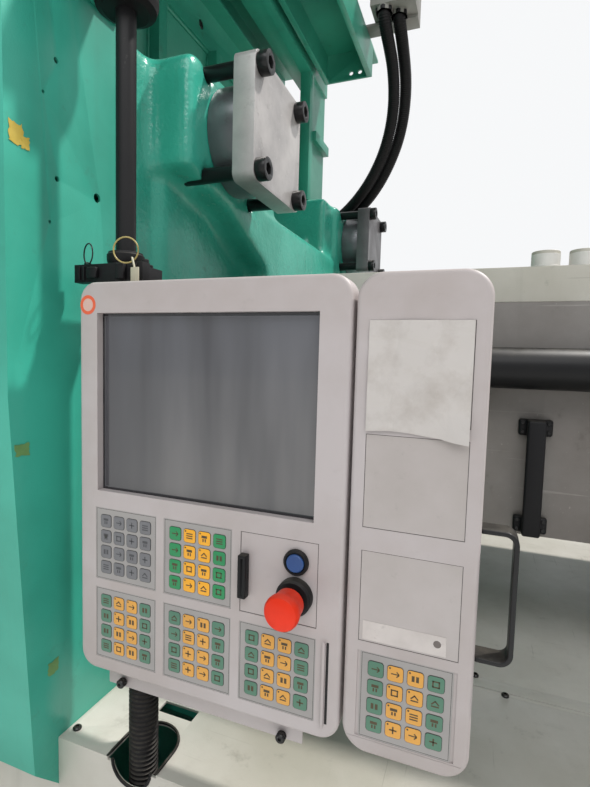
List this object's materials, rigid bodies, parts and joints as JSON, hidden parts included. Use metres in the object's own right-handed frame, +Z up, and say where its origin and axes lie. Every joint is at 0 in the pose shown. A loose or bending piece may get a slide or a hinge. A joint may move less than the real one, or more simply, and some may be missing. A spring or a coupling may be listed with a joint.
{
  "type": "injection moulding machine",
  "caption": "Horizontal injection moulding machine: bed, clamp with tie bars and platens, sliding guards, injection unit with hopper, and a swivelling control panel on a pole.",
  "frame": {"origin": "on the floor, under the middle of the machine's outer box", "axes": "+X along the machine from the clamp to the injection unit, +Y away from the operator, +Z up"},
  "size_m": [8.3, 1.834, 2.69],
  "materials": {
    "mint_paint": "satin",
    "cream_paint": "satin",
    "panel_grey": "satin",
    "guard_grey": "satin",
    "plain_steel": "satin",
    "plate_steel": "rough",
    "chromed_steel": "polished",
    "bright_sheet": "brushed",
    "black_steel": "satin",
    "black_plastic": "satin",
    "black_rubber": "matt",
    "screen_glass": "polished",
    "door_glass": "polished",
    "keypad_foil": "satin",
    "insert_foil": "satin",
    "blue_cap": "gloss",
    "red_cap": "satin",
    "switch_red": "gloss"
  },
  "bodies": {
    "base": {"bed_frame": "mint_paint", "levelling_feet": "plain_steel", "bed_cover": "cream_paint", "bed_top_sheet": "cream_paint", "bed_side_covers": "cream_paint", "power_pack": "plain_steel", "guide_rails": "plain_steel", "stationary_platen": "mint_paint", "rear_platen": "mint_paint", "tie_bars": "chromed_steel", "tie_bar_nuts": "black_steel", "lock_plates": "plate_steel", "lock_bolts": "black_steel", "clamp_cylinder": "mint_paint", "platen_cover_front": "mint_paint", "platen_cover_rear": "mint_paint", "overhead_frame": "mint_paint", "end_guard": "mint_paint", "door_rails": "plain_steel", "junction_box": "cream_paint", "hose_left": "black_rubber", "hose_right": "black_rubber", "boom_arm": "mint_paint", "pole_collar": "black_rubber", "panel_pole": "black_steel", "panel_conduit": "black_rubber", "pull_cylinders": "black_steel"},
    "clamp": {"moving_platen": "mint_paint", "clamp_ram": "chromed_steel"},
    "ejector": {"ejector_plate": "plain_steel"},
    "front_door": {"front_door": "mint_paint", "front_window": "door_glass", "front_handle": "black_plastic"},
    "rear_door": {"rear_door": "mint_paint", "rear_window": "door_glass"},
    "panel": {"pole_clamp": "black_plastic", "panel_front": "panel_grey", "panel_back": "panel_grey", "screen": "screen_glass", "main_keypads": "keypad_foil", "button_bezel": "black_plastic", "estop_collar": "black_plastic", "side_panel": "panel_grey", "side_inserts": "insert_foil", "panel_handle": "black_plastic"},
    "blue_button": {"blue_button": "blue_cap"},
    "estop": {"estop_head": "red_cap"},
    "carriage": {"carriage": "mint_paint", "barrel": "plain_steel", "barrel_guard": "cream_paint", "hopper": "bright_sheet", "pull_rods": "chromed_steel"},
    "shield": {"guard_shield": "guard_grey", "guard_handle": "black_plastic"},
    "hopper_lid": {"hopper_lid": "bright_sheet"},
    "crosshead": {"crosshead": "mint_paint"},
    "screw": {"screw": "chromed_steel"},
    "cabinet_door": {"cabinet_door": "cream_paint"},
    "main_switch": {"main_switch": "switch_red"}
  },
  "joints": [
    {"name": "clamp_slide", "type": "slide", "parent": "base", "child": "clamp", "axis": [1, 0, 0], "range_m": [-0.35, 0.65]},
    {"name": "ejector_slide", "type": "slide", "parent": "clamp", "child": "ejector", "axis": [1, 0, 0], "range_m": [0, 0.2]},
    {"name": "front_door_slide", "type": "slide", "parent": "base", "child": "front_door", "axis": [1, 0, 0], "range_m": [-1.85, 0]},
    {"name": "rear_door_slide", "type": "slide", "parent": "base", "child": "rear_door", "axis": [1, 0, 0], "range_m": [-1.85, 0]},
    {"name": "carriage_slide", "type": "slide", "parent": "base", "child": "carriage", "axis": [1, 0, 0], "range_m": [0, 0.4]},
    {"name": "injection_slide", "type": "slide", "parent": "carriage", "child": "crosshead", "axis": [1, 0, 0], "range_m": [-0.45, 0]},
    {"name": "screw_turn", "type": "hinge", "parent": "crosshead", "child": "screw", "pos_m": [3.3, 0, 1.505], "axis": [1, 0, 0], "continuous": true},
    {"name": "shield_slide", "type": "slide", "parent": "carriage", "child": "shield", "axis": [1, 0, 0], "range_m": [0, 0.5]},
    {"name": "hopper_lid_hinge", "type": "hinge", "parent": "carriage", "child": "hopper_lid", "pos_m": [2.425, 0, 2.486], "axis": [0, 1, 0], "range_deg": [0, 100]},
    {"name": "panel_swivel", "type": "hinge", "parent": "base", "child": "panel", "pos_m": [0.336, -0.78, 1.62], "axis": [0, 0, 1], "range_deg": [-80, 3]},
    {"name": "blue_button_press", "type": "slide", "parent": "panel", "child": "blue_button", "axis": [0, 1, 0], "range_m": [0, 0.004], "stiffness_N_per_m": 400},
    {"name": "stop_press", "type": "slide", "parent": "panel", "child": "estop", "axis": [0, 1, 0], "range_m": [0, 0.005]},
    {"name": "cabinet_door_hinge", "type": "hinge", "parent": "base", "child": "cabinet_door", "pos_m": [1.476, -0.84, 0.55], "axis": [0, 0, -1], "range_deg": [0, 110]},
    {"name": "main_switch_turn", "type": "hinge", "parent": "cabinet_door", "child": "main_switch", "pos_m": [2.38, -0.87, 0.72], "axis": [0, 1, 0], "range_deg": [0, 90]}
  ]
}
